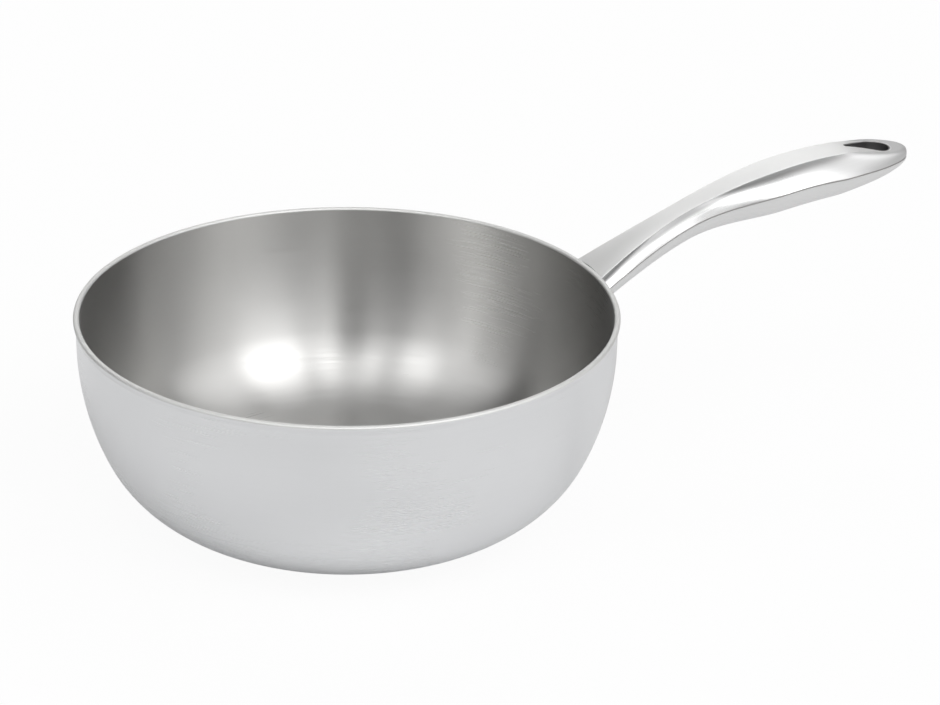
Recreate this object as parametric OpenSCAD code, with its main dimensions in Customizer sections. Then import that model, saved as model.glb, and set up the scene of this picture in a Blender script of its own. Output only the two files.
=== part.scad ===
// Saucier pan: a clad steel bowl with a swept side, and one long hollow handle welded to its wall.
// The bowl stands on z = 0 round the Z axis, and the handle runs out along +X.

/* [Bowl] */
// Outside diameter across the rim
rim_d = 245; // [232:0.5:262]
// Height from the base to the rim
bowl_h = 95.5; // [88:0.5:115]
// Diameter of the flat base
base_d = 120; // [106:1:134]
// Radius of the side's long sweep, in section
side_r = 130; // [122:1:160]
// Height of the straight band under the rim
straight_h = 9.9; // [6:0.1:16]
// Rounding of the rim's outer edge
rim_round = 1; // [0.3:0.1:1.3]
// Rounding of the rim's inner edge
lip_round = 0.3; // [0.1:0.05:0.4]

/* [Plies] */
// Thickness of the outer steel
outer_ply = 0.5; // [0.4:0.1:1]
// Thickness of the aluminium between the steels
core_ply = 1.7; // [1:0.1:3]
// Thickness of the inner steel
inner_ply = 0.5; // [0.4:0.1:1]
// Steel that covers the core's edge at the rim
rim_cover = 0.8; // [0.6:0.1:2]

/* [Handle line] */
// Distance from the bowl's wall to the handle's tip
reach = 171; // [160:1:190]
// Height of the handle's crest over the rim, at the wall
root_z = 0; // [-3:0.5:0]
// Rise of the crest for each millimetre out, at the wall
root_slope = 0.6; // [0.4:0.05:0.9]
// Distance from the wall to the highest point of the crest
peak_at = 132; // [110:1:145]
// Height of that highest point over the rim
peak_z = 41; // [25:1:60]
// Drop of the crest from there to the tip
tip_drop = 4; // [1:0.5:8]
// Distance from the wall to the slender neck
neck_at = 46; // [35:1:60]
// Distance from the wall to the full grip
grip_at = 100; // [85:1:115]
// How fast the root's flare draws in to the neck
flare = 1.6; // [1.2:0.1:2.5]

/* [Handle strip] */
// Width of the raised strip along the top, at the wall
strip_root = 25; // [18:0.5:27]
// Its width at the neck
strip_neck = 12; // [9:0.5:16]
// Its width at the grip
strip_grip = 16; // [12:0.5:20]
// Its width round the hanging hole
strip_end = 15.6; // [15:0.2:18]
// Crown of the strip across its width
crown = 1.4; // [0.4:0.1:2]
// Crown of the strip round the hanging hole
crown_end = 0.8; // [0.4:0.1:1.5]

/* [Handle body] */
// Width of the handle at the wall
body_root = 31; // [28:0.5:40]
// Its width at the neck
body_neck = 23.5; // [19:0.5:28]
// Its width at the grip
body_grip = 27; // [24:0.5:32]
// Its width where the tip's round end starts
body_end = 28; // [24:0.5:32]
// Drop from the crest to the seam, at the wall
side_root = 9; // [6:0.5:11]
// Drop to the seam at the neck
side_neck = 7; // [5:0.5:9]
// Drop to the seam at the grip
side_grip = 12; // [8:0.5:14]
// Drop to the seam at the tip
side_tip = 4; // [3:0.5:6]
// Depth of the handle from crest to belly, at the wall
depth_root = 17.4; // [15:0.2:22]
// Its depth at the neck
depth_neck = 16; // [14:0.5:20]
// Its depth at the grip
depth_grip = 23.6; // [20:0.2:28]
// Thickness of the handle's sheet
sheet = 1.2; // [0.8:0.1:1.5]
// Width of the weld along the seam
seam_w = 0.8; // [0.4:0.1:1.2]
// Depth of the groove that the dressed seam leaves
seam_recess = 0.25; // [0.1:0.05:0.4]

/* [Handle tip] */
// Length of the tip's round end, seen from above
end_len = 25; // [18:1:32]
// Length over which the belly rises to the tip
keel_len = 68; // [50:1:75]
// Length over which the seam rises towards the crest
side_len = 44; // [35:1:60]
// Length over which the flanks swell into the tip's dome
dome_len = 55; // [40:1:65]
// Material beyond the hanging hole
tip_gap = 10.5; // [8:0.5:14]
// Strip that shows between the hole and the strip's end
hole_lip = 1.4; // [1.2:0.1:2.5]

/* [Hanging hole] */
// Length of the teardrop hole
hole_l = 24; // [20:0.5:30]
// Radius of its round end
hole_r = 6.5; // [5:0.1:6.6]
// Radius of its narrow end
hole_tip_r = 1; // [0.6:0.1:2]
// Wall of the sleeve that lines it
sleeve = 0.6; // [0.4:0.1:0.7]
// Clearance round the sleeve
sleeve_clear = 0.05; // [0.02:0.01:0.1]

/* [Handle root] */
// Gap between the handle's shells and the wall
root_gap = 0.05; // [0.04:0.01:0.2]
// Leg of the weld fillet round the root
weld_leg = 0.9; // [0.5:0.1:1.5]
// Sheet of the foot inside the root
foot_t = 1.2; // [0.8:0.1:1.5]
// Length of the foot's skirt inside the shells
foot_len = 12; // [8:1:20]
// Clearance between foot and shells
foot_clear = 0.1; // [0.08:0.01:0.2]
// Height of the welds that hold the foot off the wall
spot_h = 0.3; // [0.2:0.05:0.6]
// Diameter of those welds
spot_d = 3.6; // [2.5:0.1:4.5]
// Spacing of those welds across and down
spot_pitch = 7.5; // [6:0.5:9]

/* [Hidden] */
$fn = 96;
rim_r = rim_d / 2;
base_r = base_d / 2;
// Small length by which cutting shapes run past what they cut
over = 1;
// Radius of the bend between side and base, so that it meets both: the side's sweep ends on it without a kink
spread = rim_r - base_r;
sweep_h = bowl_h - straight_h;
corner_r = round(1000 * (spread * spread + sweep_h * sweep_h - 2 * side_r * spread)
                 / (2 * (sweep_h - side_r))) / 1000;
// Angle below the horizontal at which the two arcs meet, and their centres
turn = acos((side_r - spread) / (side_r - corner_r));
side_c = [rim_r - side_r, bowl_h - straight_h];
corner_c = [base_r, corner_r];
wall_t = outer_ply + core_ply + inner_ply;
// The strip ends short of the tip
strip_reach = reach - tip_gap + hole_lip;
// Distances back from the tip at which the strip's width and its crown start and stop changing
strip_turn = [60, 25];
crown_settle = 30;
// Distance from the tip inside which the flank is all dome
dome_full = 12;
// Powers of the round ends: how square the body's end is, and the belly's
end_power = 1;
keel_power = 1.3;
// Power of the belly's section, between an ellipse at 2 and a box
belly_power = 2.5;
// Distance over which the handle takes up the wall's curve
root_fade = 30;
// Control points of the flank's curve, as shares of its width and drop: along the handle, and at the dome
flank_near = [0.05, 0.45];
flank_far = [0.85, 0.6];
dome_near = [0.85, -0.06];
dome_far = [1, 0.12];
// Facets: steps across half the strip, down a flank and round half the belly, and stations along the handle
strip_m = 3;
flank_m = 6;
top_m = strip_m + flank_m;
belly_m = 8;
straight_n = 28;
tip_n = 16;
// Share of the handle's length after which the stations crowd towards the tip
crowd_from = 0.75;
stations = concat([0, weld_leg / reach],
                  [for (k = [1:straight_n]) crowd_from * k / straight_n],
                  [for (k = [1:tip_n]) crowd_from + (1 - crowd_from) * sin(90 * k / tip_n)]);
last = len(stations) - 1;
// Teardrop: centre of its round end, distance back to its narrow end, and slope of its sides
hole_x = rim_r + reach - tip_gap - hole_r;
hole_back = hole_l - hole_r - hole_tip_r;
hole_slope = asin((hole_r - hole_tip_r) / hole_back);
hole_m = 14;

// Half-section of the bowl's outside, drawn in by inset and open to the given top
module bowl_section(inset, top = bowl_h) {
    far = 2 * side_r;
    intersection() {
        translate([0, -rim_r]) square([2 * rim_r, 3 * rim_r]);
        union() {
            polygon([[0, top], [rim_r - inset, top], [rim_r - inset, side_c[1]], side_c, corner_c,
                     [base_r, inset], [0, inset]]);
            intersection() {
                translate(side_c) circle(r = side_r - inset);
                polygon([side_c, side_c + [far, 0], side_c + far * [cos(turn), -sin(turn)]]);
            }
            intersection() {
                translate(corner_c) circle(r = corner_r - inset);
                polygon([corner_c, corner_c + far * [cos(turn), -sin(turn)], corner_c + [0, -far]]);
            }
        }
    }
}

// Section of the metal between two insets
module ply_section(from, to) {
    difference() {
        bowl_section(from);
        bowl_section(to, bowl_h + over);
    }
}

// What a quarter-round takes off a corner of the rim, with the corner at p and side 1 outward or -1 inward
module corner_waste(p, r, side) {
    difference() {
        translate([p[0] - (side > 0 ? r : over), p[1] - r]) square([r + over, r + over]);
        translate([p[0] - side * r, p[1] - r]) circle(r = r);
    }
}

module bowl_solid(inset, top = bowl_h) {
    rotate_extrude($fn = 180) bowl_section(inset, top);
}

module cooking_surface() {
    color("gainsboro") rotate_extrude($fn = 180) difference() {
        ply_section(outer_ply + core_ply, wall_t);
        corner_waste([rim_r - wall_t, bowl_h], lip_round, -1);
    }
}

module aluminium_core() {
    color("darkgray") rotate_extrude($fn = 180) difference() {
        ply_section(outer_ply, outer_ply + core_ply);
        translate([0, bowl_h - rim_cover]) square([rim_d, rim_cover + over]);
    }
}

module outer_shell() {
    color("silver") rotate_extrude($fn = 180) difference() {
        union() {
            ply_section(0, outer_ply);
            translate([rim_r - outer_ply - core_ply, bowl_h - rim_cover]) square([outer_ply + core_ply, rim_cover]);
        }
        corner_waste([rim_r, bowl_h], rim_round, 1);
    }
}

function limit(t) = min(1, max(0, t));
function smooth(t) = limit(t) * limit(t) * (3 - 2 * limit(t));
function hermite(t, a, b, da, db) = a * (2 * pow(t, 3) - 3 * t * t + 1) + da * (pow(t, 3) - 2 * t * t + t)
    + b * (3 * t * t - 2 * pow(t, 3)) + db * (pow(t, 3) - t * t);

// Radius of the wall at a height over the rim, and its distance out along X at a place across
function wall_at(z) = -z < straight_h ? rim_r : side_c[0] + sqrt(side_r * side_r - pow(z + straight_h, 2));
function wall_x(y, z) = sqrt(pow(wall_at(z), 2) - y * y);

// The handle is described by u, the distance out from the wall, y across, and z over the rim
function crest_z(u) = u < peak_at
    ? hermite(u / peak_at, root_z, peak_z, root_slope * peak_at, 0)
    : hermite((u - peak_at) / (reach - peak_at), peak_z, peak_z - tip_drop, 0, 0);
function between(u, root, neck, grip, power = 2) = u < neck_at
    ? neck + (root - neck) * pow(1 - u / neck_at, power)
    : neck + (grip - neck) * smooth((u - neck_at) / (grip_at - neck_at));
function round_end(u, end, length, power) = pow(1 - pow(limit((u - end + length) / length), 2), power / 2);
function strip_half(u) = between(u, strip_root, strip_neck, strip_grip, flare) / 2
    + (strip_end - strip_grip) / 2 * smooth((u - reach + strip_turn[0]) / (strip_turn[0] - strip_turn[1]));
function crown_h(u) = crown + (crown_end - crown) * smooth((u - neck_at) / (reach - crown_settle - neck_at));
function side_drop(u) = between(u, side_root, side_neck, side_grip);
function seam_z(u) = crest_z(u) - side_drop(u) - (side_tip - side_grip) * smooth((u - reach + side_len) / side_len);
function body_half(u) = between(u, body_root, body_neck, body_grip, flare) / 2
    + (body_end - body_grip) / 2 * smooth((u - grip_at) / (reach - end_len - grip_at));
function body_y(u, w) = (body_half(u) - w) * round_end(u, reach - w, end_len - w, end_power);
function belly(u, w) = (between(u, depth_root, depth_neck, depth_grip) - side_drop(u) - w)
    * round_end(u, reach - w, keel_len, keel_power);

// Moves a place on the handle to the part's frame, where its root follows the wall
function seat(p) = [rim_r + p[0] + pow(max(0, 1 - p[0] / root_fade), 2) * (wall_x(p[1], p[2]) + root_gap - rim_r),
                    p[1], bowl_h + p[2]];

// Places on the handle's skin, drawn in by w: s runs from 0 at the wall to 1 at the tip
function strip_at(s, v, w) = let (
        u = s * (strip_reach - w),
        y = v * (strip_half(u) - w) * round_end(u, strip_reach - w, strip_end / 2 - w, 1))
    [u, y, crest_z(u) - w - crown_h(u) * pow(y / strip_half(u), 2)];
function seam_at(s, side, up, w) = let (u = s * (reach - w)) [u, side * body_y(u, w), seam_z(u) + up * seam_w / 2];
function bend(t, a, b) = 3 * pow(1 - t, 2) * t * a + 3 * (1 - t) * t * t * b + pow(t, 3);
function flank_at(s, side, t, w) = let (
        p = strip_at(s, side, w),
        d = seam_at(s, side, 1, w) - p,
        dome = smooth((p[0] - reach + dome_len) / (dome_len - dome_full)),
        near = flank_near + dome * (dome_near - flank_near),
        far = flank_far + dome * (dome_far - flank_far),
        out = bend(t, near[0], far[0]),
        down = bend(t, near[1], far[1]))
    p + [out * d[0], out * d[1], down * d[2]];
function top_at(s, i, w) = abs(i) <= strip_m
    ? strip_at(s, i / strip_m, w)
    : flank_at(s, sign(i), (abs(i) - strip_m) / flank_m, w);
function belly_at(s, i, w) = let (
        u = s * (reach - w),
        a = 90 * (1 - abs(i) / belly_m))
    [u, sign(i) * body_y(u, w) * pow(cos(a), 2 / belly_power),
     seam_z(u) - seam_w / 2 - belly(u, w) * pow(sin(a), 2 / belly_power)];

// Triangles of a four-sided face, without those that have closed up
function split(q) = [for (t = [[q[0], q[1], q[2]], [q[0], q[2], q[3]]]) if (t[0] != t[1] && t[1] != t[2] && t[0] != t[2]) t];
function turned(q) = [q[3], q[2], q[1], q[0]];

// A sheet shell from its outer and inner skins: m steps to each side, count points in a skin, at(j, i) their order
module shell(points, m, count, at) {
    quads = concat(
        [for (j = [0:last - 1], i = [-m:m - 1]) [at(j, i), at(j, i + 1), at(j + 1, i + 1), at(j + 1, i)]],
        [for (j = [0:last - 1], i = [-m:m - 1]) turned([for (k = [[j, i], [j, i + 1], [j + 1, i + 1], [j + 1, i]])
            count + at(k[0], k[1])])],
        [for (j = [0:last - 1]) [at(j + 1, m), at(j, m), count + at(j, m), count + at(j + 1, m)]],
        [for (j = [0:last - 1]) [at(j, -m), at(j + 1, -m), count + at(j + 1, -m), count + at(j, -m)]],
        [for (i = [-m:m - 1]) [at(0, i + 1), at(0, i), count + at(0, i), count + at(0, i + 1)]]);
    polyhedron(points, [for (q = quads) each split(q)]);
}

// The shells: the last station closes up, on the tip's middle line for the top and on one point for the belly
top_count = last * (2 * top_m + 1) + flank_m + 1;
belly_count = last * (2 * belly_m + 1) + 1;
top_order = function (j, i) j < last ? j * (2 * top_m + 1) + i + top_m : last * (2 * top_m + 1) + max(0, abs(i) - strip_m);
belly_order = function (j, i) j < last ? j * (2 * belly_m + 1) + i + belly_m : last * (2 * belly_m + 1);
function top_skin(w) = concat(
    [for (j = [0:last - 1], i = [-top_m:top_m]) seat(top_at(stations[j], i, w))],
    [for (i = [strip_m:top_m]) seat(top_at(1, i, w))]);
function belly_skin(w) = concat(
    [for (j = [0:last - 1], i = [-belly_m:belly_m]) seat(belly_at(stations[j], i, w))],
    [seat(belly_at(1, 0, w))]);

// Outline of the hanging hole, grown all round
module teardrop(grow) {
    big = hole_r + grow;
    small = hole_tip_r + grow;
    circle(r = big);
    translate([-hole_back, 0]) circle(r = small);
    polygon([big * [-sin(hole_slope), cos(hole_slope)], big * [-sin(hole_slope), -cos(hole_slope)],
             [-hole_back, 0] + small * [-sin(hole_slope), -cos(hole_slope)],
             [-hole_back, 0] + small * [-sin(hole_slope), cos(hole_slope)]]);
}

module hole_cutter(grow) {
    translate([hole_x, 0, bowl_h]) linear_extrude(peak_z + over) teardrop(grow);
}

module handle_top_shell() {
    color("lightgray") difference() {
        shell(concat(top_skin(0), top_skin(sheet)), top_m, top_count, top_order);
        hole_cutter(sleeve + sleeve_clear);
    }
}

module handle_bottom_shell() {
    color("silver") difference() {
        mirror([0, 1, 0]) shell(concat(belly_skin(0), belly_skin(sheet)), belly_m, belly_count, belly_order);
        hole_cutter(sleeve + sleeve_clear);
    }
}

// The sleeve's outline, grown all round, as points across the handle
function teardrop_points(grow) = concat(
    [for (k = [0:2 * hole_m]) let (a = (k / hole_m - 1) * (90 + hole_slope)) (hole_r + grow) * [cos(a), sin(a)]],
    [for (k = [0:hole_m]) let (a = 90 + hole_slope + k / hole_m * (180 - 2 * hole_slope))
        [-hole_back, 0] + (hole_tip_r + grow) * [cos(a), sin(a)]]);
function strip_top(u, y) = crest_z(u) - crown_h(u) * pow(y / strip_half(u), 2);
function belly_low(u, y) = seam_z(u) - seam_w / 2
    - belly(u, 0) * pow(1 - pow(abs(y) / body_y(u, 0), belly_power), 1 / belly_power);

module hang_hole_sleeve() {
    outer = teardrop_points(sleeve);
    inner = teardrop_points(0);
    n = len(outer);
    function up(p) = [hole_x + p[0], p[1], bowl_h + strip_top(hole_x + p[0] - rim_r, p[1])];
    function low(p) = [hole_x + p[0], p[1], bowl_h + belly_low(hole_x + p[0] - rim_r, p[1])];
    rings = [outer, inner, inner, outer];
    points = [for (k = [0:3], p = rings[k]) k < 2 ? up(p) : low(p)];
    quads = [for (k = [0:3], i = [0:n - 1]) let (a = k * n, b = ((k + 1) % 4) * n, j = (i + 1) % n)
        [a + i, b + i, b + j, a + j]];
    color("dimgray") polyhedron(points, [for (q = quads) each split(q)]);
}

// A solid of the handle's whole section drawn in by w, from one distance out to another
module section_solid(w, from, to) {
    rings = 4;
    ring = function (u) let (s = u / (reach - w)) concat(
        [for (i = [-top_m:top_m]) seat(top_at(s, i, w))],
        [for (i = [belly_m:-1:-belly_m]) seat(belly_at(s, i, w))]);
    n = 2 * top_m + 2 * belly_m + 2;
    loops = [for (k = [0:rings]) ring(from + (to - from) * k / rings)];
    ends = [for (r = [loops[0], loops[rings]]) [for (c = [0:2]) [for (p = r) p[c]] * [for (p = r) 1 / n]]];
    points = concat([for (r = loops) each r], ends);
    first_c = n * (rings + 1);
    sides = [for (k = [0:rings - 1], i = [0:n - 1]) let (j = (i + 1) % n) [k * n + i, k * n + j, (k + 1) * n + j, (k + 1) * n + i]];
    caps = [for (i = [0:n - 1]) let (j = (i + 1) % n) each [[first_c, j, i], [first_c + 1, rings * n + i, rings * n + j]]];
    polyhedron(points, concat([for (q = sides) each split(q)], caps));
}

// A pressed cup: its floor follows the wall and its skirt fits inside the shells
module handle_foot() {
    outside = sheet + foot_clear;
    color("slategray") difference() {
        section_solid(outside, -2 * foot_t, foot_len);
        difference() {
            section_solid(outside + foot_t, -3 * foot_t, foot_len + over);
            bowl_solid(-spot_h - foot_t, bowl_h + rim_r);
        }
        bowl_solid(-spot_h, bowl_h + rim_r);
    }
}

module foot_spot_welds() {
    middle = root_z - depth_root / 2;
    color("dimgray") difference() {
        intersection() {
            for (side = [-1, 1], row = [-1, 1])
                translate([rim_r - spot_pitch, side * spot_pitch / 2, bowl_h + middle + row * spot_pitch / 2])
                    rotate([0, 90, 0]) cylinder(d = spot_d, h = 2 * spot_pitch);
            bowl_solid(-spot_h);
        }
        bowl_solid(0, bowl_h + over);
    }
}

// A fillet down both flanks of the root and round its belly, against the wall
module root_weld() {
    outline = function (s) concat(
        [for (i = [strip_m:top_m]) top_at(s, -i, 0)],
        [for (i = [-belly_m:belly_m]) belly_at(s, i, 0)],
        [for (i = [top_m:-1:strip_m]) top_at(s, i, 0)]);
    inside = outline(0);
    leg = outline(stations[1]);
    n = len(inside);
    foot = [for (k = [0:n - 1]) let (
                t = inside[min(k + 1, n - 1)] - inside[max(k - 1, 0)],
                d = weld_leg / norm([t[1], t[2]]))
            inside[k] + [0, d * t[2], -d * t[1]]];
    points = [for (k = [0:n - 1]) each [seat(inside[k]), seat(leg[k]), seat(foot[k])]];
    quads = [for (k = [0:n - 2], c = [0:2]) let (e = (c + 1) % 3) [3 * k + c, 3 * k + e, 3 * k + 3 + e, 3 * k + 3 + c]];
    ends = [[0, 2, 1], [3 * n - 3, 3 * n - 2, 3 * n - 1]];
    color("gainsboro") polyhedron(points, concat([for (q = quads) each split(q)], ends));
}

// A bead between the two shells, from the root round the tip and back
module seam_weld() {
    points = [for (k = [-last:last]) let (s = stations[last - abs(k)], side = sign(k)) each
        [seat(seam_at(s, side, 1, seam_recess)), seat(seam_at(s, side, -1, seam_recess)),
         seat(seam_at(s, side, -1, sheet)), seat(seam_at(s, side, 1, sheet))]];
    quads = [for (k = [0:2 * last - 1], c = [0:3]) let (e = (c + 1) % 4) [4 * k + c, 4 * k + e, 4 * k + 4 + e, 4 * k + 4 + c]];
    ends = [[0, 3, 2, 1], [8 * last, 8 * last + 1, 8 * last + 2, 8 * last + 3]];
    color("dimgray") polyhedron(points, [for (q = concat(quads, ends)) each split(q)]);
}

cooking_surface();
aluminium_core();
outer_shell();
handle_top_shell();
handle_bottom_shell();
hang_hole_sleeve();
handle_foot();
foot_spot_welds();
root_weld();
seam_weld();
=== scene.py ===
"""A clad steel saucier pan: a brushed bowl with a swept side, and one long hollow handle."""

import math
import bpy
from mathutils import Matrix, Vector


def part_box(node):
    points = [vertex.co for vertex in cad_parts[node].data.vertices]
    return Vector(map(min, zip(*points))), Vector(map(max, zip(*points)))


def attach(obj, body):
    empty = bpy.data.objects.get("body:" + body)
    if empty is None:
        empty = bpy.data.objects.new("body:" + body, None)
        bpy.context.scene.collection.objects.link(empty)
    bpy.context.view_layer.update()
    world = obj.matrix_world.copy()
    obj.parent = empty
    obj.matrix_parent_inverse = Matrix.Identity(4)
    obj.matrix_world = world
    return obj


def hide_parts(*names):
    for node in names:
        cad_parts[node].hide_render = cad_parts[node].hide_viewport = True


bl_info = {
    "name": "Saucier pan",
    "version": (1, 0, 0),
    "blender": (4, 5, 0),
    "location": "3D View > Sidebar > Saucier pan",
    "description": "Dresses the packed saucier pan in spun, brushed and polished steel",
    "category": "Object",
}

import bmesh
import bpy
import numpy as np
from bpy.props import FloatProperty, FloatVectorProperty, IntProperty, PointerProperty
from mathutils import Matrix, Vector

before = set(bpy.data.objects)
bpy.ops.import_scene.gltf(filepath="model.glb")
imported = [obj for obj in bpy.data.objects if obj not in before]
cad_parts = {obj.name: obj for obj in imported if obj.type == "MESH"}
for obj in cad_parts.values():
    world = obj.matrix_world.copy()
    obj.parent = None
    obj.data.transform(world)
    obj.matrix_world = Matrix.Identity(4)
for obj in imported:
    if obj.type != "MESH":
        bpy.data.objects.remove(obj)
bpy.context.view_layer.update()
SHELL_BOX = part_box("outer_shell")
HANDLE_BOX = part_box("handle_top_shell")

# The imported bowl's facets lie just inside its true circle, and the spun pieces here stay inside the facets
RIM_R = min(SHELL_BOX[1].y, -SHELL_BOX[0].y, -SHELL_BOX[0].x)
RIM_TOP = SHELL_BOX[1].z
REACH = HANDLE_BOX[1].x - RIM_R
BODY = "root"


def length(name, description, default):
    return FloatProperty(name=name, description=description, default=default, unit="LENGTH",
                         subtype="DISTANCE")


def amount(name, description, default):
    return FloatProperty(name=name, description=description, default=default)


def share(name, description, default):
    return FloatProperty(name=name, description=description, default=default, min=0.0, max=1.0,
                         subtype="FACTOR")


def colour(name, description, default):
    return FloatVectorProperty(name=name, description=description, default=default, size=3, min=0.0,
                               max=1.0, subtype="COLOR")


class SaucierBowlSizes(bpy.types.PropertyGroup):
    """Sizes of the bowl's section"""
    rim_r: length("Rim radius", "Outside radius of the rim", RIM_R)
    height: length("Height", "Height from the base to the rim", RIM_TOP)
    base_r: length("Base radius", "Radius of the flat base", 0.060)
    side_r: length("Side sweep", "Radius of the side's long sweep in section", 0.130)
    straight_h: length("Straight band", "Height of the straight band under the rim", 0.0099)
    back_side_r: length("Back sweep", "Radius of the same sweep on the outside", 0.118)
    back_straight_h: length("Back band", "Height from that sweep's top to the rim", 0.014)
    lip_out: length("Lip", "How far the rim stands out from the wall under it", 0.001)
    lip_h: length("Lip height", "Height over which it runs out", 0.0045)
    outer_ply: length("Outer ply", "Thickness of the outer steel", 0.0005)
    core_ply: length("Core", "Thickness of the aluminium between the steels", 0.0017)
    inner_ply: length("Inner ply", "Thickness of the inner steel", 0.0005)
    rim_cover: length("Rim cover", "Steel over the core's edge at the rim", 0.0008)
    rim_round: length("Rim rounding", "Rounding of the rim's outer edge", 0.001)
    lip_round: length("Inner rounding", "Rounding of the rim's inner edge", 0.001)
    turns: IntProperty(name="Turns", description="Steps round a spun piece", default=384, min=48)


class SaucierHandleSizes(bpy.types.PropertyGroup):
    """Sizes of the handle: its line, its raised strip, its body and its tip"""
    reach: length("Reach", "Distance from the wall to the tip", REACH)
    root_z: length("Root height", "Height of the crest over the rim at the wall", 0.0)
    root_slope: amount("Root slope", "Rise of the crest for each unit out at the wall", 0.6)
    peak_at: length("Peak place", "Distance from the wall to the crest's highest point", 0.132)
    peak_z: length("Peak height", "Height of that point over the rim", 0.04098)
    tip_drop: length("Tip drop", "Drop of the crest from there to the tip", 0.004)
    neck_at: length("Neck place", "Distance from the wall to the neck", 0.046)
    grip_at: length("Grip place", "Distance from the wall to the full grip", 0.100)
    flare: amount("Flare", "How fast the root draws in to the neck", 1.6)
    strip_root: length("Strip at root", "Width of the raised strip at the wall", 0.025)
    strip_neck: length("Strip at neck", "Width of the strip at the neck", 0.012)
    strip_grip: length("Strip at grip", "Width of the strip at the grip", 0.016)
    strip_end: length("Strip at hole", "Width of the strip round the hanging hole", 0.0156)
    crown: length("Crown", "Crown of the strip across its width", 0.0014)
    crown_end: length("Crown at hole", "Crown of the strip round the hanging hole", 0.0008)
    body_root: length("Body at root", "Width of the handle at the wall", 0.031)
    body_neck: length("Body at neck", "Width of the handle at the neck", 0.0235)
    body_grip: length("Body at grip", "Width of the handle at the grip", 0.027)
    body_end: length("Body at end", "Width where the tip's round end starts", 0.028)
    side_root: length("Seam at root", "Drop from the crest to the seam at the wall", 0.009)
    side_neck: length("Seam at neck", "Drop to the seam at the neck", 0.007)
    side_grip: length("Seam at grip", "Drop to the seam at the grip", 0.012)
    side_tip: length("Seam at tip", "Drop to the seam at the tip", 0.004)
    depth_root: length("Depth at root", "Depth from crest to belly at the wall", 0.0174)
    depth_neck: length("Depth at neck", "Depth at the neck", 0.016)
    depth_grip: length("Depth at grip", "Depth at the grip", 0.0236)
    sheet: length("Sheet", "Thickness of the handle's sheet", 0.0012)
    seam_w: length("Seam width", "Width of the weld along the seam", 0.0008)
    seam_recess: length("Seam groove", "Depth of the groove over the dressed seam", 0.00025)
    end_len: length("Round end", "Length of the tip's round end seen from above", 0.025)
    keel_len: length("Belly rise", "Length over which the belly rises to the tip", 0.068)
    side_len: length("Seam rise", "Length over which the seam rises towards the crest", 0.044)
    dome_len: length("Dome", "Length over which the flanks swell into the tip's dome", 0.055)
    tip_gap: length("Tip gap", "Material beyond the hanging hole", 0.0105)
    hole_lip: length("Hole lip", "Strip between the hole and the strip's end", 0.0014)
    hole_l: length("Hole length", "Length of the teardrop hole", 0.024)
    hole_r: length("Hole radius", "Radius of its round end", 0.0065)
    hole_tip_r: length("Hole apex", "Radius of its narrow end", 0.001)
    sleeve: length("Sleeve", "Wall of the sleeve that lines the hole", 0.0006)
    sleeve_clear: length("Sleeve clearance", "Clearance round the sleeve", 0.00005)
    root_gap: length("Root gap", "Gap between the shells and the wall", 0.00005)
    weld_leg: length("Weld leg", "Leg of the weld fillet round the root", 0.0009)
    crease_r: length("Crease rounding", "Rounding along the edge of the raised strip", 0.0005)


class SaucierFinish(bpy.types.PropertyGroup):
    """Colours and finishes of the steels"""
    inside: colour("Cooking surface", "Colour of the steel that food touches", (0.565, 0.562, 0.553))
    outside: colour("Outside", "Colour of the bowl's outer steel", (0.775, 0.781, 0.791))
    rim: colour("Rim", "Colour of the rim's steel", (0.76, 0.76, 0.75))
    strip: colour("Strip", "Colour of the handle's satin strip", (0.73, 0.73, 0.725))
    handle: colour("Handle", "Colour of the handle's polished flanks", (0.61, 0.61, 0.61))
    belly: colour("Belly", "Colour of the handle's belly", (0.75, 0.75, 0.75))
    core: colour("Core", "Colour of the aluminium", (0.80, 0.81, 0.82))
    weld: colour("Weld", "Colour of the dressed welds", (0.36, 0.355, 0.35))
    hole: colour("Hole", "Colour of the unpolished steel inside the hanging hole", (0.20, 0.20, 0.20))
    inside_rough: share("Inside roughness", "Roughness of the cooking surface", 0.31)
    outside_rough: share("Outside roughness", "Roughness of the bowl's outer steel", 0.30)
    rim_rough: share("Rim roughness", "Roughness of the ground rim", 0.62)
    strip_rough: share("Strip roughness", "Roughness of the satin strip", 0.50)
    flank_rough: share("Flank roughness", "Roughness of the polished flanks", 0.20)
    # Painted shade: the flanks keep this share of their colour in a band under the strip
    painted_shade_tint: share("Step tint", "Share of its colour that a flank keeps in the step under the strip", 0.46)
    step_rough: share("Step roughness", "Extra roughness there, where polishing doesn't reach", 0.22)
    dome_rough: share("Dome roughness", "Roughness that the flanks take on over the tip's dome", 0.60)
    belly_rough: share("Belly roughness", "Roughness of the handle's belly", 0.42)
    core_rough: share("Core roughness", "Roughness of the aluminium", 0.45)
    weld_rough: share("Weld roughness", "Roughness of the dressed welds", 0.45)
    hole_rough: share("Hole roughness", "Roughness of the steel inside the hanging hole", 0.5)
    foot_rough: share("Foot roughness", "Roughness of the hidden foot", 0.4)
    spot_rough: share("Spot roughness", "Roughness of the hidden spot welds", 0.5)
    inside_spread: share("Inside spread", "How far the inside spreads a reflection across its lines", 0.95)
    outside_spread: share("Outside spread", "The same for the bowl's outer steel", 0.68)
    strip_spread: share("Strip spread", "The same for the satin strip", 0.9)
    belly_spread: share("Belly spread", "The same for the handle's belly", 0.5)


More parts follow.
